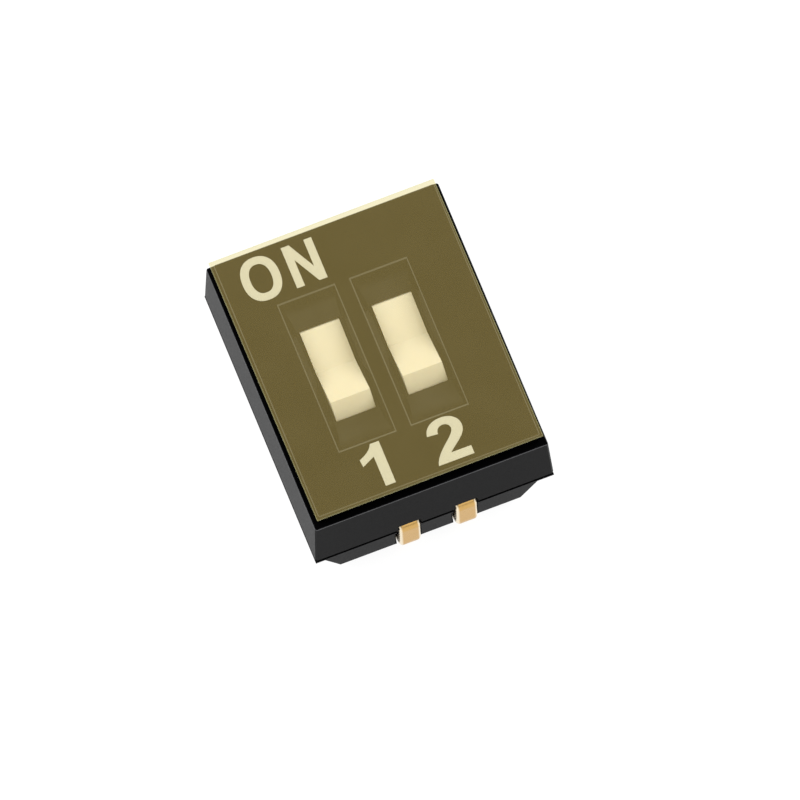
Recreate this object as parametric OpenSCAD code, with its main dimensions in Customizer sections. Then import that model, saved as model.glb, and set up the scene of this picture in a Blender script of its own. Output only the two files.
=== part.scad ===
// Two-way surface-mount rocker DIP switch, half pitch, with a wash-seal film on top.
// X runs along the row from way 1 to way 2, Y from the numbered side to the ON side, Z up.
// Z = 0 is the plane of the solder pads, under the middle of the housing.

/* [Row] */
// Distance between the two rockers
way_pitch = 1.27; // [1.2:0.01:1.55]
// Place of the middle of the rocker row along X
way_shift = -0.055; // [-0.1:0.005:0.1]
// Place of the rocker row along Y
row_y = 0; // [-0.05:0.01:0.05]
// Distance between neighbouring leads
lead_pitch = 1.00; // [0.8:0.01:1.3]
// Place of the middle of the lead row along X
lead_shift = 0.06; // [-0.1:0.01:0.1]

/* [Cover] */
// Length of the cover along the row, at its ledge
cover_x = 4.10; // [3.4:0.01:5]
// Width of the cover across the row, at its ledge
cover_y = 4.98; // [4.1:0.01:6]
// Height of the cover's side walls
side_h = 1.30; // [1.1:0.01:1.6]
// Draft: how far the foot of each side wall stands outside its top edge
side_draft = 0.05; // [0.02:0.01:0.07]
// Thickness of the side walls at their foot
wall_t = 0.30; // [0.2:0.01:0.36]
// Width taken off each side at the cover's upright corners
corner_break = 0.03; // [0.01:0.005:0.05]
// Width of the broken edges round the ledge and the raised top
edge_break = 0.02; // [0.01:0.005:0.03]
// Height of the seam between the cover's walls and the base
seam_h = 0.08; // [0.04:0.01:0.1]
// Depth of that seam behind the foot of the walls
seam_depth = 0.06; // [0.04:0.01:0.1]
// Height of the raised top above the ledge
plateau_h = 0.28; // [0.15:0.01:0.35]
// Width of the ledge around the raised top
ledge_w = 0.10; // [0.05:0.01:0.15]
// Thickness of the cover under the raised top
roof_t = 0.43; // [0.38:0.01:0.5]

/* [Windows] */
// Width of a dished window at its rim
window_x = 1.03; // [0.9:0.01:1.15]
// Length of a dished window at its rim
window_y = 2.82; // [2.4:0.01:3.3]
// Place of the windows along X from their rockers
window_shift_x = -0.03; // [-0.04:0.005:0.04]
// Place of the windows along Y from the rocker row
window_shift_y = -0.055; // [-0.08:0.005:0.08]
// Width of the broken edge round a window's rim
rim_break = 0.015; // [0.01:0.005:0.02]
// Depth of the dish where it meets the rocker
dish_depth = 0.21; // [0.15:0.01:0.26]
// Width of the flat strip around the rocker at the bottom of a dish
dish_strip = 0.02; // [0.01:0.005:0.03]

/* [Rockers] */
// Width of a rocker
rocker_w = 0.69; // [0.55:0.01:0.75]
// Radius of a rocker's ends about its pivot
rocker_r = 1.11; // [0.95:0.01:1.2]
// Height of the valley between a rocker's two halves above its pivot
rocker_mid = 0.67; // [0.6:0.01:0.72]
// Slope of each half of a rocker's top, in degrees
rocker_slope = 15; // [10:0.5:18]
// Tilt of a rocker each way from level, in degrees
rocker_tilt = 7.5; // [5:0.5:9]
// Height of the underside of a rocker's head above its pivot
head_floor = 0.25; // [0.2:0.01:0.35]
// Diameter of the trunnions
trunnion_d = 0.30; // [0.2:0.01:0.36]
// Length of each trunnion
trunnion_l = 0.15; // [0.1:0.01:0.2]
// Thickness of the stem that carries the ball, across the pivot
stem_y = 0.64; // [0.56:0.01:0.72]

/* [Contacts] */
// Diameter of the contact ball
ball_d = 0.40; // [0.32:0.01:0.42]
// Distance from the pivot to the middle of the ball
ball_arm = 0.79; // [0.7:0.01:0.84]
// How far the ball stands out of its stem
ball_proud = 0.13; // [0.08:0.01:0.17]
// Diameter of the spring wire
wire_d = 0.06; // [0.04:0.01:0.07]
// Open turns of the spring
spring_turns = 4; // [3:1:5]
// Width of the gap between a way's two contact pads
pad_gap = 0.12; // [0.08:0.01:0.18]
// Width of a contact pad
pad_w = 0.44; // [0.3:0.01:0.6]

/* [Leads] */
// Width of a lead
lead_w = 0.37; // [0.28:0.01:0.42]
// Thickness of the terminal strip
lead_t = 0.15; // [0.1:0.01:0.18]
// How far a lead stands out from the foot of the cover
lead_proud = 0.02; // [0:0.01:0.1]
// Outer radius of the bend at the top of a lead
shoulder_r = 0.20; // [0.19:0.01:0.3]
// Outer radius of the bend at the foot of a lead
heel_r = 0.40; // [0.3:0.01:0.45]
// Length of the flat sole between the heel and the toe
sole_l = 0.25; // [0.15:0.01:0.35]
// Outer radius of the bend at the toe
toe_r = 0.20; // [0.19:0.01:0.25]
// Height of the upturned toe above its bend
toe_h = 0.12; // [0.05:0.01:0.15]
// Rounding of the strip's edges
strip_edge_r = 0.065; // [0.01:0.005:0.07]

/* [Base] */
// Height of the base's underside above the solder plane
standoff = 0.10; // [0.05:0.01:0.14]
// Height of the base from its underside to the parting line
base_h = 0.83; // [0.75:0.01:1.1]
// How far the base's long faces stand in from the foot of the cover
base_inset = 0.13; // [0.05:0.01:0.16]
// Length of the base's underside along the row
base_foot_x = 3.18; // [2.9:0.01:3.4]
// Place of that underside along X
base_shift = -0.05; // [-0.1:0.01:0.1]
// Height of the straight lip at the parting line
lip_h = 0.03; // [0.02:0.01:0.1]
// Height of the flare between that lip and the long faces
flare_h = 0.28; // [0.15:0.01:0.35]
// Thickness of the outer bearing posts
post_t = 0.25; // [0.18:0.01:0.28]
// Length of the bearing posts across the row
post_y = 0.70; // [0.5:0.01:0.8]
// Space beside and behind a lead in its slot
slot_clear = 0.05; // [0.02:0.01:0.08]
// Space above a lead where it comes out through the cover's wall
notch_clear = 0.06; // [0.02:0.01:0.15]

/* [Film] */
// Thickness of the sealing film
film_t = 0.05; // [0.03:0.01:0.08]
// How far the film stands out past the raised top along X
film_over_x = 0.04; // [0:0.01:0.09]
// How far the film stands out past the raised top along Y
film_over_y = 0.06; // [0:0.01:0.09]
// Radius of the film's corners
film_r = 0.04; // [0.01:0.01:0.2]

/* [Fits] */
// Space beside and around a moving rocker
run_clear = 0.03; // [0.02:0.005:0.05]
// Radial space around a trunnion
bearing_clear = 0.02; // [0.01:0.005:0.03]
// Space between parts that are pushed together
fit_clear = 0.02; // [0.01:0.005:0.03]
// Space between the contact ball and the pads half way through its travel
touch_clear = 0.005; // [0.005:0.001:0.01]

/* [Hidden] */
$fn = 64;
eps = 0.01;

// Levels
z_part = standoff + base_h;
z_deck = z_part + lead_t;
z_ledge = z_part + side_h;
z_top = z_ledge + plateau_h;
z_roof = z_top - roof_t;
z_dish = z_top - dish_depth;

// The rocker's top edge, as an angle about the pivot, and the height it swings up to
edge_angle = acos(rocker_mid * cos(rocker_slope) / rocker_r) - rocker_slope;
z_pivot = z_top - fit_clear - rocker_r * cos(edge_angle - rocker_tilt);
z_pad = z_pivot - ball_arm - ball_d / 2 - touch_clear;
z_post = z_pivot + trunnion_d / 2 + bearing_clear;

// Outlines
cover_foot_x = cover_x + 2 * side_draft;
cover_foot_y = cover_y + 2 * side_draft;
cavity_x = cover_foot_x - 2 * wall_t;
cavity_y = cover_foot_y - 2 * wall_t;
plateau_x = cover_x - 2 * ledge_w;
plateau_y = cover_y - 2 * ledge_w;
base_y = cover_foot_y - 2 * base_inset;

// Windows and wells
slot_x = rocker_w + 2 * run_clear;
slot_r = rocker_r + run_clear;
slot_y = 2 * sqrt(slot_r * slot_r - (z_dish - z_pivot) * (z_dish - z_pivot));
dish_floor_x = slot_x + 2 * dish_strip;
dish_floor_y = slot_y + 2 * dish_strip;
stem_floor = -ball_arm - ball_d / 2 + ball_proud;
well_y = 2 * (stem_y / 2 * cos(rocker_tilt) - stem_floor * sin(rocker_tilt) + run_clear);

// Spring pocket, measured from the pivot along the stem
pocket_d = ball_d + fit_clear;
pocket_roof = -0.05;
coil_r = (pocket_d - 2 * fit_clear - wire_d) / 2;
spring_foot = -ball_arm + sqrt(pow(ball_d / 2 + wire_d / 2, 2) - coil_r * coil_r) + touch_clear;
spring_head = pocket_roof - wire_d / 2 - touch_clear;
coil_turns = spring_turns + 2;
rings_per_turn = 16;
ring_sides = 6;

// Terminals: u is the distance out from the middle plane of the housing
bury = 0.15;
u_lead = cover_foot_y / 2 + lead_proud;
u_drop = well_y / 2 + abs(row_y) + bury;
u_rise = u_drop + z_deck - z_pad;
u_jog = u_rise + bury;
u_wall = cavity_y / 2 - bury;
gap_y = row_y - ball_arm * sin(rocker_tilt);

// Middle of way i, and of lead i, along X
function way_x(i) = way_shift + (i - 1.5) * way_pitch;
function lead_x(i) = lead_shift + (i - 1.5) * lead_pitch;

module rounded_rect(x, y, r) {
    square([x - 2 * r, y], center = true);
    square([x, y - 2 * r], center = true);
    for (sx = [-1, 1], sy = [-1, 1])
        translate([sx * (x / 2 - r), sy * (y / 2 - r)]) circle(r);
}

// A bar along X whose section is drawn in Y and Z
module bar_x(length) {
    rotate([90, 0, 90]) linear_extrude(height = length, center = true) children();
}

// A bar along Y whose section is drawn in X and Z
module bar_y(length) {
    rotate([90, 0, 0]) linear_extrude(height = length, center = true) children();
}

module rod_x(d, length) {
    rotate([0, 90, 0]) cylinder(d = d, h = length, center = true);
}

// Section through a pair of walls that leans in by draft over height h
module leaning_section(width, h, draft) {
    polygon([
        [-width / 2, 0], [width / 2, 0], [width / 2 - draft, h], [-width / 2 + draft, h]
    ]);
}

// The same section with its two top edges broken
module broken_section(width, h, draft) {
    foot = width / 2;
    head = foot - draft;
    polygon([
        [-foot, 0], [foot, 0], [head, h - edge_break], [head - edge_break, h],
        [-head + edge_break, h], [-head, h - edge_break]
    ]);
}

// A block on its foot whose walls lean in by draft, with its top edges and upright corners broken
module drafted_block(x, y, h, draft) {
    diagonal = (x + y - 2 * corner_break) / sqrt(2);
    intersection() {
        bar_y(2 * y) broken_section(x, h, draft);
        bar_x(2 * x) broken_section(y, h, draft);
        rotate([0, 0, 45]) bar_x(2 * x) leaning_section(diagonal, h, draft * sqrt(2));
        rotate([0, 0, -45]) bar_x(2 * x) leaning_section(diagonal, h, draft * sqrt(2));
    }
}

// Cover

// Radius of the run at one end of a dish, where side is -1 in front and 1 behind
function dish_r(side) =
    let (run = window_y / 2 - rim_break + side * window_shift_y - dish_floor_y / 2)
    (run * run + dish_depth * dish_depth) / (2 * dish_depth);

// The dished hollow of one window: a flat strip round the slot, two round runs and sloping sides
module dish() {
    side_x = window_x / 2 - rim_break - dish_floor_x / 2;
    left_x = side_x - window_shift_x;
    right_x = side_x + window_shift_x;
    intersection() {
        union() {
            for (side = [-1, 1])
                translate([0, side * dish_floor_y / 2, z_dish + dish_r(side)])
                    rod_x(2 * dish_r(side), 2 * window_x);
            translate([0, 0, z_dish + dish_depth])
                cube([2 * window_x, dish_floor_y, 2 * dish_depth], center = true);
        }
        bar_y(2 * window_y)
            polygon([
                [-dish_floor_x / 2 + left_x, z_dish - dish_depth],
                [dish_floor_x / 2 - right_x, z_dish - dish_depth],
                [dish_floor_x / 2 + 2 * right_x, z_top + dish_depth],
                [-dish_floor_x / 2 - 2 * left_x, z_top + dish_depth]
            ]);
    }
}

// Section of the cut that breaks a window's rim, twice as wide as it is deep
module rim_section(width) {
    polygon([
        [-width / 2 + 4 * rim_break, -2 * rim_break], [width / 2 - 4 * rim_break, -2 * rim_break],
        [width / 2 + 4 * rim_break, 2 * rim_break], [-width / 2 - 4 * rim_break, 2 * rim_break]
    ]);
}

module window_rim() {
    translate([window_shift_x, window_shift_y, z_top]) intersection() {
        bar_y(2 * window_y) rim_section(window_x);
        bar_x(2 * window_x) rim_section(window_y);
    }
}

// X ranges of the three bearing posts, which the ribs of the cover close from above
function post_ranges() = [
    [way_x(1) - slot_x / 2 - post_t, way_x(1) - slot_x / 2],
    [way_x(1) + slot_x / 2, way_x(2) - slot_x / 2],
    [way_x(2) + slot_x / 2, way_x(2) + slot_x / 2 + post_t]
];

module cover_shell() {
    difference() {
        union() {
            translate([0, 0, z_part + seam_h])
                drafted_block(cover_foot_x, cover_foot_y, side_h - seam_h, side_draft);
            translate([0, 0, z_part]) linear_extrude(height = seam_h + eps)
                square([cover_foot_x - 2 * seam_depth, cover_foot_y - 2 * seam_depth], center = true);
            translate([0, 0, z_ledge - eps]) drafted_block(plateau_x, plateau_y, plateau_h + eps, 0);
        }
        translate([-cavity_x / 2, -cavity_y / 2, z_part - eps])
            cube([cavity_x, cavity_y, z_roof - z_part + eps]);
    }
}

module lead_notches() {
    notch_x = lead_w + 2 * fit_clear;
    for (i = [1, 2])
        translate([lead_x(i) - notch_x / 2, -cover_foot_y, z_part - eps])
            cube([notch_x, 2 * cover_foot_y, lead_t + notch_clear + eps]);
}

module hold_down_ribs() {
    rib_floor = z_post + touch_clear;
    for (r = post_ranges())
        translate([r[0] + fit_clear, row_y - post_y / 2, rib_floor])
            cube([r[1] - r[0] - 2 * fit_clear, post_y, z_roof - rib_floor + eps]);
}

module cover() {
    color([0.07, 0.07, 0.07])
    difference() {
        union() {
            cover_shell();
            hold_down_ribs();
        }
        lead_notches();
        for (i = [1, 2])
            translate([way_x(i), row_y, 0]) {
                dish();
                window_rim();
                translate([0, 0, z_pivot]) rod_x(2 * slot_r, slot_x);
            }
    }
}

// Base

module base_block() {
    lip_floor = z_part - lip_h;
    intersection() {
        bar_y(2 * cover_y)
            polygon([
                [base_shift - base_foot_x / 2, standoff], [base_shift + base_foot_x / 2, standoff],
                [cover_foot_x / 2, lip_floor], [cover_foot_x / 2, z_part],
                [-cover_foot_x / 2, z_part], [-cover_foot_x / 2, lip_floor]
            ]);
        bar_x(2 * cover_x)
            polygon([
                [-base_y / 2, standoff], [base_y / 2, standoff],
                [base_y / 2, lip_floor - flare_h], [cover_foot_y / 2, lip_floor],
                [cover_foot_y / 2, z_part], [-cover_foot_y / 2, z_part],
                [-cover_foot_y / 2, lip_floor], [-base_y / 2, lip_floor - flare_h]
            ]);
    }
    deck_x = cavity_x - 2 * fit_clear;
    deck_y = cavity_y - 2 * fit_clear;
    translate([-deck_x / 2, -deck_y / 2, z_part - eps]) cube([deck_x, deck_y, lead_t + eps]);
}

module bearing_posts() {
    for (r = post_ranges())
        translate([r[0], row_y - post_y / 2, z_deck - eps])
            cube([r[1] - r[0], post_y, z_post - z_deck + eps]);
}

// The saddles that the trunnions drop into from above
module bearing_saddles() {
    saddle_d = trunnion_d + 2 * bearing_clear;
    translate([0, row_y, z_pivot]) rod_x(saddle_d, 2 * cover_x);
    translate([-cover_x, row_y - saddle_d / 2, z_pivot]) cube([2 * cover_x, saddle_d, z_post]);
}

module rocker_well(i) {
    translate([way_x(i) - slot_x / 2, row_y - well_y / 2, z_pad]) cube([slot_x, well_y, z_deck]);
}

// The slot in a long face, which runs out at the underside, and the narrower pocket for the toe
module lead_slot(i) {
    slot_w = lead_w + 2 * slot_clear;
    pocket_w = lead_w + 2 * fit_clear;
    toe_u = u_lead - heel_r - sole_l - toe_r;
    pocket_top = toe_r + toe_h + 2 * slot_clear;
    face_y = u_lead - base_y / 2;
    for (s = [0, 1])
        mirror([0, s, 0])
            translate([lead_x(i), -u_lead, 0]) {
                translate([-pocket_w / 2, 0, -eps])
                    cube([pocket_w, u_lead - toe_u + 2 * slot_clear, pocket_top + eps]);
                bar_x(slot_w)
                    polygon([
                        [0, 0], [face_y, 0], [face_y, standoff], [lead_t + slot_clear, heel_r],
                        [lead_t + slot_clear, z_part], [0, z_part]
                    ]);
            }
}

module base() {
    color([0.14, 0.14, 0.14])
    difference() {
        union() {
            base_block();
            bearing_posts();
        }
        bearing_saddles();
        for (i = [1, 2]) {
            rocker_well(i);
            lead_slot(i);
            front_terminal(i);
            back_terminal(i);
        }
    }
}

// Terminals

// Section of the strip, with its thickness along X and its width along Y
module strip_section() {
    rounded_rect(lead_t, lead_w, strip_edge_r);
}

// A quarter bend of the strip about the X axis, from start_angle on, where 0 is down and 90 is +Y
module strip_bend(outer_r, start_angle) {
    rotate([0, 90, 0]) rotate([0, 0, start_angle])
        rotate_extrude(angle = 90)
            translate([outer_r - lead_t / 2, 0]) strip_section();
}

// A straight run of the strip upward from the plane it is placed on
module strip_upright(h) {
    rotate([0, 0, 90]) linear_extrude(height = h) strip_section();
}

// A straight run of the strip inward, along +Y
module strip_level(length) {
    rotate([-90, 0, 0]) linear_extrude(height = length)
        rotate([0, 0, 90]) strip_section();
}

// The lead outside the housing, drawn on the numbered side: shoulder, shank, heel, sole and toe
module lead() {
    shoulder_z = z_deck - shoulder_r;
    translate([0, -u_lead + shoulder_r, z_deck - lead_t / 2])
        strip_level(u_lead - shoulder_r - u_wall);
    translate([0, -u_lead + shoulder_r, shoulder_z]) strip_bend(shoulder_r, 180);
    translate([0, -u_lead + lead_t / 2, heel_r]) strip_upright(shoulder_z - heel_r);
    translate([0, -u_lead + heel_r, heel_r]) strip_bend(heel_r, 270);
    translate([0, -u_lead + heel_r, lead_t / 2]) strip_level(sole_l);
    translate([0, -u_lead + heel_r + sole_l, toe_r]) strip_bend(toe_r, 0);
    translate([0, -u_lead + heel_r + sole_l + toe_r - lead_t / 2, toe_r]) strip_upright(toe_h);
}

// The arm inside the base, from the jog down to the contact pad that ends at pad_end
module contact_arm(pad_end) {
    mitre = lead_t * tan(22.5);
    bar_x(pad_w)
        polygon([
            [-pad_end, z_pad], [-u_drop, z_pad], [-u_rise, z_deck], [-u_jog, z_deck],
            [-u_jog, z_part], [-u_rise - mitre, z_part],
            [-u_drop - mitre, z_pad - lead_t], [-pad_end, z_pad - lead_t]
        ]);
}

// The jog that brings the strip from the lead's pitch to the rocker's
module strip_jog(from_x, to_x) {
    translate([0, 0, z_part]) linear_extrude(height = lead_t)
        polygon([
            [to_x - pad_w / 2, -u_jog + eps], [to_x - pad_w / 2, -u_jog],
            [from_x - lead_w / 2, -u_wall], [from_x - lead_w / 2, -u_wall - eps],
            [from_x + lead_w / 2, -u_wall - eps], [from_x + lead_w / 2, -u_wall],
            [to_x + pad_w / 2, -u_jog], [to_x + pad_w / 2, -u_jog + eps]
        ]);
}

module terminal(i, pad_end) {
    color([0.86, 0.70, 0.45]) {
        translate([lead_x(i), 0, 0]) lead();
        strip_jog(lead_x(i), way_x(i));
        translate([way_x(i), 0, 0]) contact_arm(pad_end);
    }
}

module front_terminal(i) {
    terminal(i, pad_gap / 2 - gap_y);
}

module back_terminal(i) {
    mirror([0, 1, 0]) terminal(i, pad_gap / 2 + gap_y);
}

// Rockers, modelled with the ON end pressed

// Places its children on the pivot of way i, tilted to the ON position
module on_pivot(i) {
    translate([way_x(i), row_y, z_pivot]) rotate([-rocker_tilt, 0, 0]) children();
}

module rocker_head() {
    side_rise = rocker_r * tan(rocker_slope);
    intersection() {
        rod_x(2 * rocker_r, rocker_w);
        bar_x(2 * rocker_w)
            polygon([
                [-rocker_r, head_floor], [rocker_r, head_floor],
                [rocker_r, rocker_mid + side_rise], [0, rocker_mid],
                [-rocker_r, rocker_mid + side_rise]
            ]);
    }
}

module rocker(i) {
    color([0.94, 0.91, 0.82])
    on_pivot(i) difference() {
        union() {
            rocker_head();
            translate([-rocker_w / 2, -stem_y / 2, stem_floor])
                cube([rocker_w, stem_y, head_floor - stem_floor + eps]);
            rod_x(trunnion_d, rocker_w + 2 * trunnion_l);
        }
        translate([0, 0, stem_floor - eps])
            cylinder(d = pocket_d, h = pocket_roof - stem_floor + eps);
    }
}

// Contact balls and springs

module contact_ball(i) {
    color([0.88, 0.72, 0.42])
    on_pivot(i) translate([0, 0, -ball_arm]) sphere(d = ball_d);
}

// Height of the coil's centre line at turn t: a closed turn at each end and open turns between
function coil_z(t) =
    let (open = spring_head - spring_foot - 2 * wire_d)
    t < 1 ? spring_foot + wire_d * t
    : t > spring_turns + 1 ? spring_head - wire_d * (coil_turns - t)
    : spring_foot + wire_d + open * (t - 1) / spring_turns;

// Points of one ring of wire at turn t
function coil_ring(t) = [
    for (k = [0 : ring_sides - 1])
        let (a = 360 * t, b = 360 * k / ring_sides, r = coil_r + wire_d / 2 * cos(b))
        [r * cos(a), r * sin(a), coil_z(t) + wire_d / 2 * sin(b)]
];

module contact_spring(i) {
    steps = rings_per_turn * coil_turns;
    points = [for (s = [0 : steps]) each coil_ring(s / rings_per_turn)];
    walls = [
        for (s = [0 : steps - 1], k = [0 : ring_sides - 1])
            let (a = s * ring_sides + k, b = s * ring_sides + (k + 1) % ring_sides)
            [a, b, b + ring_sides, a + ring_sides]
    ];
    first = [for (k = [ring_sides - 1 : -1 : 0]) k];
    last = [for (k = [0 : ring_sides - 1]) steps * ring_sides + k];
    color([0.75, 0.76, 0.78])
    on_pivot(i) polyhedron(points, concat([first, last], walls));
}

// Film

module sealing_tape() {
    color([0.80, 0.68, 0.25, 0.5])
    translate([0, 0, z_top]) linear_extrude(height = film_t)
        rounded_rect(plateau_x + 2 * film_over_x, plateau_y + 2 * film_over_y, film_r);
}

cover();
base();
sealing_tape();
rocker(1);  // rocker_1
rocker(2);  // rocker_2
contact_spring(1);  // contact_spring_1
contact_spring(2);  // contact_spring_2
contact_ball(1);  // contact_ball_1
contact_ball(2);  // contact_ball_2
front_terminal(1);  // front_terminal_1
front_terminal(2);  // front_terminal_2
back_terminal(1);  // back_terminal_1
back_terminal(2);  // back_terminal_2
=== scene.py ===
"""Looks of a two-way surface-mount rocker DIP switch with a wash-seal film.

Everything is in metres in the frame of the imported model: X along the row of rockers,
Y towards the ON side, Z up from the solder plane. Sizes written in millimetres are
turned to metres by MM.
"""

from math import cos, pi, radians, sin

import bpy
from mathutils import Matrix, Vector


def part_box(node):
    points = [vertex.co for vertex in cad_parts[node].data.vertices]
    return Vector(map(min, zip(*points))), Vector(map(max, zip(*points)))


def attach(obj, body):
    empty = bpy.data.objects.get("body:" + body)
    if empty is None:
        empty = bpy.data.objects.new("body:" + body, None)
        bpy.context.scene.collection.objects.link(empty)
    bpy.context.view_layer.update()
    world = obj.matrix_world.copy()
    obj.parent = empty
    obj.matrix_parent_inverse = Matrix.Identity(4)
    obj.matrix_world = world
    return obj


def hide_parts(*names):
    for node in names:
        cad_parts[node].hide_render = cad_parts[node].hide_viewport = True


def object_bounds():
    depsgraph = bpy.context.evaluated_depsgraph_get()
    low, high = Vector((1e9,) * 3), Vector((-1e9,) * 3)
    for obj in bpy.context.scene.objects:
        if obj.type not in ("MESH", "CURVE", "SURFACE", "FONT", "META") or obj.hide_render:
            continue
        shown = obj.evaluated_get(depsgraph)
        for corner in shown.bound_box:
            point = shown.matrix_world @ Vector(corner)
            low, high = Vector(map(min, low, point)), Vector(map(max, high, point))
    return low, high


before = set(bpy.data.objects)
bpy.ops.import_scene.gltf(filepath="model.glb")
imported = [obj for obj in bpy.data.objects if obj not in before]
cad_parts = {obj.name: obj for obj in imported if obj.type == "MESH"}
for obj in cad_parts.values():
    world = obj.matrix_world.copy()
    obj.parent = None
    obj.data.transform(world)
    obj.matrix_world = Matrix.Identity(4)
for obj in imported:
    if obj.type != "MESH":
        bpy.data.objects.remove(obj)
cad_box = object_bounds()

MM = 0.001
HOUSING = "switch_body"

COVER_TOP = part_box("cover")[1].z
LEDGE_TOP = COVER_TOP - 0.28 * MM  # the ledge round the raised top
EDGE_BREAK = 0.02 * MM  # the break on the cover's upper edges
EDGE_HIGHLIGHT_HALF = 0.008 * MM  # half the height of each band of painted edge highlight
OUTER_REACH = 1 * MM  # surfaces that face outward this far from the middle are outer ones
STEEP, NEARLY_LEVEL = 0.82, 0.92  # upward part of the normal at 35 and at 23 degrees

INK_THICKNESS = 0.006 * MM
FILM_GAP = 0.002 * MM  # between the ink and the film
FILM_EASE = 0.014 * MM  # rounding of the die-cut edge
FILM_CORNER = 0.01 * MM
FILM_SHIFT = -0.013 * MM  # the film is laid a little to the left
FILM_TURN = radians(0.2)  # and a little askew

NYLON_IOR = 1.53

# ---------------------------------------------------------------- colour and nodes


def linear(srgb_hex):
    """An sRGB hex colour as the linear RGBA that the shaders take."""
    channels = [int(srgb_hex[i:i + 2], 16) / 255 for i in (0, 2, 4)]
    bent = [c / 12.92 if c <= 0.04045 else ((c + 0.055) / 1.055) ** 2.4 for c in channels]
    return (*bent, 1.0)


def add(tree, kind, settings=None, links=None):
    """Adds one node, sets its sockets or properties, and links its inputs."""
    node = tree.nodes.new(kind)
    for name, value in (settings or {}).items():
        if isinstance(name, int) or name in node.inputs:
            node.inputs[name].default_value = value
        else:
            setattr(node, name, value)
    for name, source in (links or {}).items():
        tree.links.new(source, node.inputs[name])
    return node


def new_material(name):
    """An empty material with the output node that its shader goes to."""
    material = bpy.data.materials.new(name)
    material.use_nodes = True
    tree = material.node_tree
    tree.nodes.clear()
    return material, tree, add(tree, "ShaderNodeOutputMaterial")


def per_size(size_mm):
    """Noise scale that gives features of about this size in millimetres."""
    return 1 / (size_mm * MM)


def grain(tree, size_mm, stretch=(1, 1, 1), detail=2.0):
    """Noise fixed to the piece, with features of size_mm, drawn out along an axis by stretch."""
    place = add(tree, "ShaderNodeTexCoord")
    scaled = add(
        tree, "ShaderNodeMapping", {"Scale": [1 / s for s in stretch]},
        {"Vector": place.outputs["Object"]})
    return add(
        tree, "ShaderNodeTexNoise", {"Scale": per_size(size_mm), "Detail": detail},
        {"Vector": scaled.outputs["Vector"]}).outputs["Fac"]


def spread(tree, value, low, high):
    """Maps a noise value, which mostly lies from 0.3 to 0.7, to the range low to high."""
    return add(
        tree, "ShaderNodeMapRange",
        {"From Min": 0.3, "From Max": 0.7, "To Min": low, "To Max": high},
        {"Value": value}).outputs["Result"]


def blend_colours(tree, share, first, second):
    """The first colour where share is 0, the second where it is 1."""
    return add(
        tree, "ShaderNodeMix", {"data_type": "RGBA"}, {0: share, 6: first, 7: second}).outputs[2]


def tone(tree, value, low_hex, high_hex):
    """A colour that runs from one hex colour to another with value."""
    return add(
        tree, "ShaderNodeMix", {"data_type": "RGBA", 6: linear(low_hex), 7: linear(high_hex)},
        {0: value}).outputs[2]


def relief(tree, height, depth_mm, strength):
    """Surface relief from a height value, depth_mm deep and eased by strength."""
    return add(
        tree, "ShaderNodeBump", {"Strength": strength, "Distance": depth_mm * MM},
        {"Height": height}).outputs["Normal"]


def height_band(tree, middle, half):
    """1 where the surface lies within half above or below the level middle, else 0."""
    place = add(tree, "ShaderNodeTexCoord")
    height = add(tree, "ShaderNodeSeparateXYZ", links={0: place.outputs["Object"]}).outputs["Z"]
    return add(
        tree, "ShaderNodeMath", {"operation": "COMPARE", 1: middle, 2: half},
        {0: height}).outputs[0]


def outward(tree):
    """1 on the outer edges of the cover, down to half on surfaces that face its middle."""
    place = add(tree, "ShaderNodeTexCoord")
    reach = add(
        tree, "ShaderNodeVectorMath", {"operation": "DOT_PRODUCT"},
        {0: place.outputs["Object"], 1: place.outputs["Normal"]})
    return add(
        tree, "ShaderNodeMapRange", {"From Max": OUTER_REACH, "To Min": 0.5},
        {"Value": reach.outputs["Value"]}).outputs["Result"]


def upward(tree):
    """1 where a surface leans less than 23 degrees from level, 0 where it leans over 35."""
    facing = add(tree, "ShaderNodeTexCoord").outputs["Normal"]
    height = add(tree, "ShaderNodeSeparateXYZ", links={0: facing}).outputs["Z"]
    return add(
        tree, "ShaderNodeMapRange", {"From Min": STEEP, "From Max": NEARLY_LEVEL},
        {"Value": height}).outputs["Result"]


def product(tree, first, second):
    """Two values multiplied."""
    return add(
        tree, "ShaderNodeMath", {"operation": "MULTIPLY"}, {0: first, 1: second}).outputs[0]


# ---------------------------------------------------------------- materials


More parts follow.
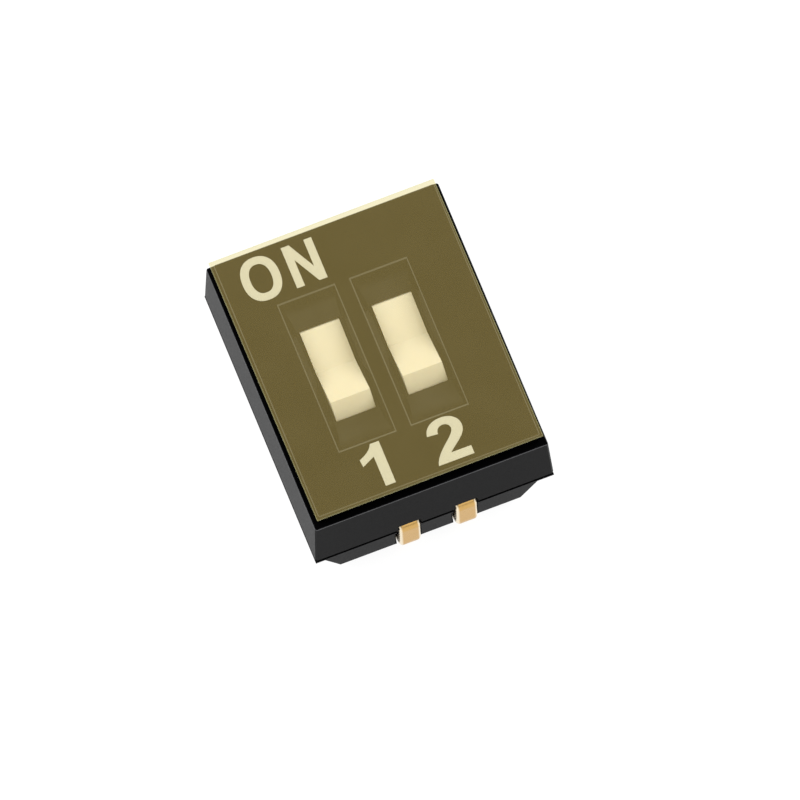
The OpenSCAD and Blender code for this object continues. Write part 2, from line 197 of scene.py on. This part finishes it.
def black_nylon(name, low_hex, high_hex, specular, highlight_levels=(), polished=None):
    """Glass-filled nylon 46, black, from a spark-eroded mould.

    To the eye: near black, satin, with a faint sparkle of glass fibres at the skin. The
    upper edges, given by their levels, get a painted highlight: a lighter grey band in
    place of the light that they catch. Between the two levels of polished, the walls come
    from a smoother insert of the mould, and the dishes, which face up, get a painted sheen:
    a cloudy lighter grey in place of the light that they reflect.
    """
    material, tree, output = new_material(name)
    eroded = grain(tree, 0.03, detail=3.0)  # pits left by the sparks
    fibres = grain(tree, 0.02, stretch=(1, 6, 1))  # twice as thick as real ones, so they show
    colour = tone(tree, fibres, low_hex, high_hex)
    roughness = spread(tree, eroded, 0.32, 0.4)
    if highlight_levels:
        # Painted highlight: the broken upper edges, at the given levels, are painted a lighter
        # grey in place of the light that they catch.
        painted_highlight = tone(tree, fibres, "545456", "5E5E60")
        outer = outward(tree)
        for level in highlight_levels:
            edge_highlight_mask = product(tree, height_band(tree, level, EDGE_HIGHLIGHT_HALF), outer)
            colour = blend_colours(tree, edge_highlight_mask, colour, painted_highlight)
    if polished:
        low, high = polished
        insert_and_sheen_band = height_band(tree, (low + high) / 2, (high - low) / 2)
        # Painted sheen: the upward faces of the dishes get a cloudy lighter grey in place of the
        # light that they reflect; the lower roughness of the insert in this band is real.
        cloud = spread(tree, grain(tree, 0.8), 0, 1)  # clouds nearly as wide as a dish
        sheen = tone(tree, cloud, "161618", "323234")
        colour = blend_colours(tree, product(tree, insert_and_sheen_band, upward(tree)), colour, sheen)
        insert_roughness = 0.12
        roughness = add(
            tree, "ShaderNodeMix", {3: insert_roughness}, {0: insert_and_sheen_band, 2: roughness}).outputs[0]
    shader = add(
        tree, "ShaderNodeBsdfPrincipled",
        {"IOR": NYLON_IOR, "Specular IOR Level": specular},
        {
            "Base Color": colour,
            "Roughness": roughness,
            "Normal": relief(tree, eroded, depth_mm=0.0006, strength=0.4),
        })
    tree.links.new(shader.outputs["BSDF"], output.inputs["Surface"])
    return material


def ivory_nylon():
    """Unfilled nylon, natural white, from a polished mould.

    To the eye: a soft off-white that glows a little at its edges, with faint flow marks.
    """
    material, tree, output = new_material("ivory_nylon")
    flow = grain(tree, 0.35, stretch=(1, 2, 1))  # marks of the melt along the rocker
    skin = grain(tree, 0.05)
    shader = add(
        tree, "ShaderNodeBsdfPrincipled",
        {
            "IOR": NYLON_IOR,
            "Subsurface Weight": 0.15,
            "Subsurface Scale": 0.15 * MM,
            "Subsurface Radius": (1.0, 0.8, 0.6),
        },
        {
            "Base Color": tone(tree, flow, "F3EDEC", "F7F2F1"),
            "Roughness": spread(tree, skin, 0.38, 0.5),
            "Normal": relief(tree, flow, depth_mm=0.004, strength=0.6),
        })
    tree.links.new(shader.outputs["BSDF"], output.inputs["Surface"])
    return material


def gold_plate():
    """Satin gold over nickel on rolled copper alloy strip.

    To the eye: pale warm metal with fine lines along the strip from rolling. The round
    edges of the strip, which face sideways, get a painted highlight in a paler gold.
    """
    material, tree, output = new_material("gold_plate")
    rolled = grain(tree, 0.012, stretch=(1, 30, 30))  # lines from the mill's rolls
    cloud = grain(tree, 0.15)
    facing = add(tree, "ShaderNodeTexCoord").outputs["Normal"]
    across = add(tree, "ShaderNodeSeparateXYZ", links={0: facing}).outputs["X"]
    sideways = add(tree, "ShaderNodeMath", {"operation": "ABSOLUTE"}, {0: across}).outputs[0]
    # Painted highlight: surfaces that face sideways, the round edges of the strip, are painted a
    # paler gold in place of the light that they reflect.
    sideways_highlight_share = add(
        tree, "ShaderNodeMapRange", {"From Min": 0.15, "From Max": 0.6},
        {"Value": sideways}).outputs["Result"]
    flat_gold = tone(tree, cloud, "CAA25E", "D3AB69")
    highlight_gold = tone(tree, cloud, "F6E6C8", "FAECD0")
    colour = blend_colours(tree, sideways_highlight_share, flat_gold, highlight_gold)
    shader = add(
        tree, "ShaderNodeBsdfPrincipled", {"Metallic": 1.0},
        {
            "Base Color": colour,
            "Roughness": spread(tree, cloud, 0.26, 0.34),
            "Normal": relief(tree, rolled, depth_mm=0.0004, strength=0.4),
        })
    tree.links.new(shader.outputs["BSDF"], output.inputs["Surface"])
    return material


def drawn_steel():
    """Stainless spring wire, drawn through a die.

    To the eye: bright grey metal with faint lines along the wire.
    """
    material, tree, output = new_material("drawn_steel")
    lines = grain(tree, 0.01, stretch=(1, 1, 8))  # scratches of the die
    shader = add(
        tree, "ShaderNodeBsdfPrincipled", {"Metallic": 1.0},
        {
            "Base Color": tone(tree, lines, "B4B6BA", "CDCFD2"),
            "Roughness": spread(tree, lines, 0.2, 0.3),
        })
    tree.links.new(shader.outputs["BSDF"], output.inputs["Surface"])
    return material


def amber_film(name, low_hex, high_hex, body_share):
    """Polyimide tape, 0.05 mm, with a silicone adhesive.

    To the eye: a clear amber sheet with a slight haze, so that black under it turns olive.
    Its cut edge gets a paler copy with more body, a painted highlight seen as a fine pale line.
    body_share is the part of the light that the sheet's own colour gives; the rest comes through.
    """
    material, tree, output = new_material(name)
    haze = grain(tree, 0.6)
    wave = grain(tree, 0.9)
    body = add(
        tree, "ShaderNodeBsdfPrincipled", {"IOR": 1.7, "Specular IOR Level": 0.2},
        {
            "Base Color": tone(tree, haze, low_hex, high_hex),
            "Roughness": spread(tree, haze, 0.24, 0.32),
            "Normal": relief(tree, wave, depth_mm=0.002, strength=0.4),
        })
    clear = add(tree, "ShaderNodeBsdfTransparent", {"Color": linear("FCFAEA")})
    shader = add(
        tree, "ShaderNodeMixShader", {0: body_share},
        {1: clear.outputs["BSDF"], 2: body.outputs["BSDF"]})
    tree.links.new(shader.outputs["Shader"], output.inputs["Surface"])
    return material


def marking_ink():
    """White two-part pad-printing ink, a few micrometres thick.

    To the eye: flat white with a slightly open, mottled skin.
    """
    material, tree, output = new_material("marking_ink")
    mottle = grain(tree, 0.04, detail=3.0)
    shader = add(
        tree, "ShaderNodeBsdfPrincipled", {"IOR": 1.5},
        {
            "Base Color": tone(tree, mottle, "D1D2D8", "D7D8DE"),
            "Roughness": spread(tree, mottle, 0.55, 0.7),
            "Normal": relief(tree, mottle, depth_mm=0.001, strength=0.4),
        })
    tree.links.new(shader.outputs["BSDF"], output.inputs["Surface"])
    return material


def lit_acrylic():
    """Opal acrylic sheet of a light table. To the eye: plain bright white, with no shadow line."""
    material, tree, output = new_material("lit_acrylic")
    glow = 0.93  # most of the sheet's brightness is its own, so hardly a shadow shows
    sheet = add(tree, "ShaderNodeBsdfDiffuse", {"Color": linear("6C6C6C")})
    lit = add(tree, "ShaderNodeEmission", {"Strength": glow})
    shader = add(
        tree, "ShaderNodeAddShader", links={0: sheet.outputs["BSDF"], 1: lit.outputs["Emission"]})
    tree.links.new(shader.outputs["Shader"], output.inputs["Surface"])
    material.cycles.emission_sampling = "NONE"  # so wide and even that nothing has to aim at it
    return material


# The cover gets a painted highlight on its broken upper edges and a painted sheen on its dishes.
COVER_NYLON = black_nylon(
    "cover_nylon", "010102", "030304", specular=0.024,
    highlight_levels=[COVER_TOP - EDGE_BREAK / 2, LEDGE_TOP - EDGE_BREAK],
    polished=(LEDGE_TOP + EDGE_BREAK / 2, COVER_TOP - EDGE_BREAK))
BASE_NYLON = black_nylon("base_nylon", "08080A", "0C0C0E", specular=0.045)
IVORY_NYLON = ivory_nylon()
GOLD_PLATE = gold_plate()
DRAWN_STEEL = drawn_steel()
AMBER_FILM = amber_film("amber_film", "AB985C", "B3A064", body_share=0.14)
# Painted highlight: the film's cut edge in a paler amber with more body, in place of the light
# that the edge catches.
FILM_EDGE_HIGHLIGHT = amber_film("amber_film_edge_highlight", "C6C08A", "D0CA94", body_share=0.2)
MARKING_INK = marking_ink()

FINISH_OF = {
    "cover": COVER_NYLON,
    "base": BASE_NYLON,
    "sealing_tape": AMBER_FILM,
    "rocker": IVORY_NYLON,
    "contact_spring": DRAWN_STEEL,
    "contact_ball": GOLD_PLATE,
    "front_terminal": GOLD_PLATE,
    "back_terminal": GOLD_PLATE,
}


def finish_node(name, node):
    """Gives a CAD node the finish of its kind, which is its name without the way number."""
    kind = name.rstrip("_12")
    node.data.materials.clear()
    node.data.materials.append(FINISH_OF[kind])


for node_name, cad_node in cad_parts.items():
    finish_node(node_name, cad_node)

# ---------------------------------------------------------------- sealing film


def rounded_outline(half_x, half_y, radius):
    """Points of a rectangle with round corners, going round from the +X side."""
    steps = 6  # in each corner
    points = []
    for corner, (sx, sy) in enumerate([(1, 1), (-1, 1), (-1, -1), (1, -1)]):
        for k in range(steps + 1):
            angle = (corner + k / steps) * pi / 2
            points.append((
                sx * (half_x - radius) + radius * cos(angle),
                sy * (half_y - radius) + radius * sin(angle)))
    return points


def put_in_scene(name, data):
    """An object in the scene that holds a mesh, curve, light or camera."""
    obj = bpy.data.objects.new(name, data)
    bpy.context.scene.collection.objects.link(obj)
    return obj


def flat_faced(name, points, faces, material):
    """A mesh object with flat faces, from points and faces."""
    mesh = bpy.data.meshes.new(name)
    mesh.from_pydata(points, [], faces)
    mesh.validate()
    mesh.update()
    mesh.materials.append(material)
    return put_in_scene(name, mesh)


def stacked_slab(name, layers, material, side_material):
    """A closed slab from outlines stacked from bottom to top, as (outline, height) pairs."""
    count = len(layers[0][0])
    points = [(x, y, z) for outline, z in layers for x, y in outline]
    underside = list(range(count - 1, -1, -1))
    top = [(len(layers) - 1) * count + k for k in range(count)]
    sides = []
    for layer in range(len(layers) - 1):
        below = layer * count
        above = below + count
        for k in range(count):
            after = (k + 1) % count
            sides.append([below + k, below + after, above + after, above + k])
    slab = flat_faced(name, points, [underside, *sides, top], material)
    slab.data.materials.append(side_material)
    for face in slab.data.polygons[1:-1]:
        face.material_index = 1
    return slab


def sealing_film():
    """The die-cut film, lifted off the cover by the thickness of the ink, with eased edges."""
    low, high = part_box("sealing_tape")
    bottom = low.z + INK_THICKNESS + FILM_GAP
    eased = rounded_outline(high.x - FILM_EASE, high.y - FILM_EASE, FILM_CORNER)
    full = rounded_outline(high.x, high.y, FILM_CORNER)
    layers = [
        (eased, bottom), (full, bottom + FILM_EASE), (full, high.z - FILM_EASE), (eased, high.z),
    ]
    film = stacked_slab("wash_seal_film", layers, AMBER_FILM, FILM_EDGE_HIGHLIGHT)
    laid = Matrix.Translation((FILM_SHIFT, 0, 0)) @ Matrix.Rotation(FILM_TURN, 4, "Z")
    film.data.transform(laid)
    # The colours under the film already allow for the light that it takes on the way in.
    film.visible_shadow = False
    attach(film, HOUSING)
    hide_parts("sealing_tape")


sealing_film()

# ---------------------------------------------------------------- printed markings

# An outline is a start point and moves in a box of 1 by 1: a line to one point, or a
# curve past two control points to a third.
FIGURE_ONE = [
    (1, 1), [(1, 0)], [(0.575, 0)], [(0.575, 0.708)], [(0.03, 0.567)], [(0, 0.737)],
    [(0.3, 0.8), (0.53, 0.88), (0.62, 1)],
]
FIGURE_TWO = [
    (0.005, 0.696),
    [(0.03, 0.883), (0.23, 1), (0.52, 1)],
    [(0.79, 1), (0.987, 0.883), (0.987, 0.692)],
    [(0.987, 0.47), (0.647, 0.356), (0.438, 0.19)],
    [(1, 0.19)], [(1, 0)], [(0, 0)],
    [(0.07, 0.305), (0.687, 0.534), (0.687, 0.699)],
    [(0.687, 0.781), (0.615, 0.836), (0.502, 0.836)],
    [(0.382, 0.836), (0.31, 0.775), (0.305, 0.676)],
]
LETTER_N = [
    (0, 0), [(0, 1)], [(0.261, 1)], [(0.746, 0.348)], [(0.746, 1)], [(1, 1)], [(1, 0)],
    [(0.733, 0)], [(0.254, 0.638)], [(0.254, 0)],
]
CURVE_STEPS = 12


def traced(outline):
    """The points of an outline, with its curves stepped out."""
    points = [outline[0]]
    for move in outline[1:]:
        if len(move) == 1:
            points.append(move[0])
            continue
        start, (near, far, end) = points[-1], move
        for k in range(1, CURVE_STEPS + 1):
            t = k / CURVE_STEPS
            points.append(tuple(
                (1 - t) ** 3 * start[i] + 3 * (1 - t) ** 2 * t * near[i]
                + 3 * (1 - t) * t ** 2 * far[i] + t ** 3 * end[i] for i in (0, 1)))
    return points


def full_round(width, height):
    """A round outline in the middle of the box, a little squarer than an ellipse."""
    steps = 64
    power = 2 / 2.3  # 2 / 2 would be an ellipse
    points = []
    for k in range(steps):
        angle = 2 * pi * k / steps
        c, s = cos(angle), sin(angle)
        points.append((
            0.5 + width / 2 * abs(c) ** power * (1 if c >= 0 else -1),
            0.5 + height / 2 * abs(s) ** power * (1 if s >= 0 else -1)))
    return points


def printed(name, outlines, left, low, width, height):
    """Ink on the top of the cover, from outlines in a box of that place and size in mm."""
    curve = bpy.data.curves.new(name, "CURVE")
    curve.dimensions = "2D"
    curve.fill_mode = "BOTH"
    curve.extrude = INK_THICKNESS / 2
    for outline in outlines:
        spline = curve.splines.new("POLY")
        spline.points.add(len(outline) - 1)
        for point, (x, y) in zip(spline.points, outline):
            point.co = ((left + width * x) * MM, (low + height * y) * MM, 0, 1)
        spline.use_cyclic_u = True
    drawn = put_in_scene(name + "_drawn", curve)
    bpy.context.view_layer.update()
    filled = drawn.evaluated_get(bpy.context.evaluated_depsgraph_get())
    mesh = bpy.data.meshes.new_from_object(filled)
    bpy.data.objects.remove(drawn)
    bpy.data.curves.remove(curve)
    mesh.transform(Matrix.Translation((0, 0, COVER_TOP + INK_THICKNESS / 2)))
    mesh.name = name
    mesh.materials.clear()
    mesh.materials.append(MARKING_INK)
    mark = put_in_scene(name, mesh)
    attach(mark, HOUSING)


LETTER_O = [full_round(1, 1), full_round(0.56, 0.663)]
printed("on_mark_o", LETTER_O, left=-1.625, low=1.48, width=0.65, height=0.795)
printed("on_mark_n", [traced(LETTER_N)], left=-0.811, low=1.494, width=0.536, height=0.762)
printed("way_mark_1", [traced(FIGURE_ONE)], left=-0.96, low=-2.287, width=0.412, height=0.78)
printed("way_mark_2", [traced(FIGURE_TWO)], left=0.209, low=-2.29, width=0.623, height=0.787)

# ---------------------------------------------------------------- stage


def floor():
    """A light table that reaches well past every view, a hair below the solder soles."""
    half = 1.0
    level = -0.001 * MM
    corners = [
        (-half, -half, level), (half, -half, level), (half, half, level), (-half, half, level),
    ]
    flat_faced("floor", corners, [[0, 1, 2, 3]], lit_acrylic())


def aimed(obj, place, target, roll=0.0):
    """Puts a light or camera at place, looking at target, rolled about its line of sight."""
    back = (place - target).normalized()
    right = Vector((0, 0, 1)).cross(back).normalized()
    up = back.cross(right)
    turned = Matrix((right, up, back)).transposed().to_4x4()
    obj.matrix_world = Matrix.Translation(place) @ turned @ Matrix.Rotation(roll, 4, "Z")


def direction(azimuth, elevation):
    """Unit vector from the object towards a viewer; azimuth 0 is the -Y side."""
    a, e = radians(azimuth), radians(elevation)
    return Vector((sin(a) * cos(e), -cos(a) * cos(e), sin(e)))


def softbox(name, azimuth, elevation, size_mm, power):
    """A square white softbox that looks at the foot of the switch."""
    light = bpy.data.lights.new(name, "AREA")
    light.size = size_mm * MM
    light.energy = power
    foot = Vector((cad_middle.x, cad_middle.y, 0))
    place = foot + SOFTBOX_DISTANCE * direction(azimuth, elevation)
    aimed(put_in_scene(name, light), place, foot)


def studio_air(brightness):
    """Even light from the room."""
    world = bpy.data.worlds.new("studio")
    bpy.context.scene.world = world
    world.use_nodes = True
    background = world.node_tree.nodes["Background"]
    background.inputs["Color"].default_value = (1, 1, 1, 1)
    background.inputs["Strength"].default_value = brightness


def camera():
    """A long lens, nearly parallel, looking down on the switch from the numbered side."""
    azimuth, elevation, roll = -17.55, 68.6, radians(-4.05)
    lens, sensor = 1000.0, 36.0
    view_width = 13.13 * MM
    right_of_ledge, below_ledge = 0.39 * MM, 0.697 * MM
    ledge = Vector((-0.018, -0.02, 2.23)) * MM  # the middle of the housing, at its ledge
    eye = direction(azimuth, elevation)
    cam = bpy.data.cameras.new("camera")
    cam.lens = lens
    cam.sensor_width = sensor
    shot = put_in_scene("camera", cam)
    aimed(shot, eye, Vector((0, 0, 0)), roll)
    turn = shot.matrix_world.to_3x3()
    picture_right = turn @ Vector((1, 0, 0))
    picture_up = turn @ Vector((0, 1, 0))
    target = ledge + right_of_ledge * picture_right - below_ledge * picture_up
    aimed(shot, target + eye * view_width * lens / sensor, target, roll)
    bpy.context.scene.camera = shot


cad_low, cad_high = cad_box
cad_middle = (Vector(cad_low) + Vector(cad_high)) / 2
SOFTBOX_DISTANCE = 70 * MM
floor()
studio_air(brightness=0.42)
softbox("left_box", azimuth=-120, elevation=42, size_mm=45, power=0.038)
softbox("right_box", azimuth=95, elevation=42, size_mm=45, power=0.036)
softbox("front_box", azimuth=7, elevation=28, size_mm=40, power=0.005)
camera()
bpy.context.scene.view_settings.view_transform = "Standard"
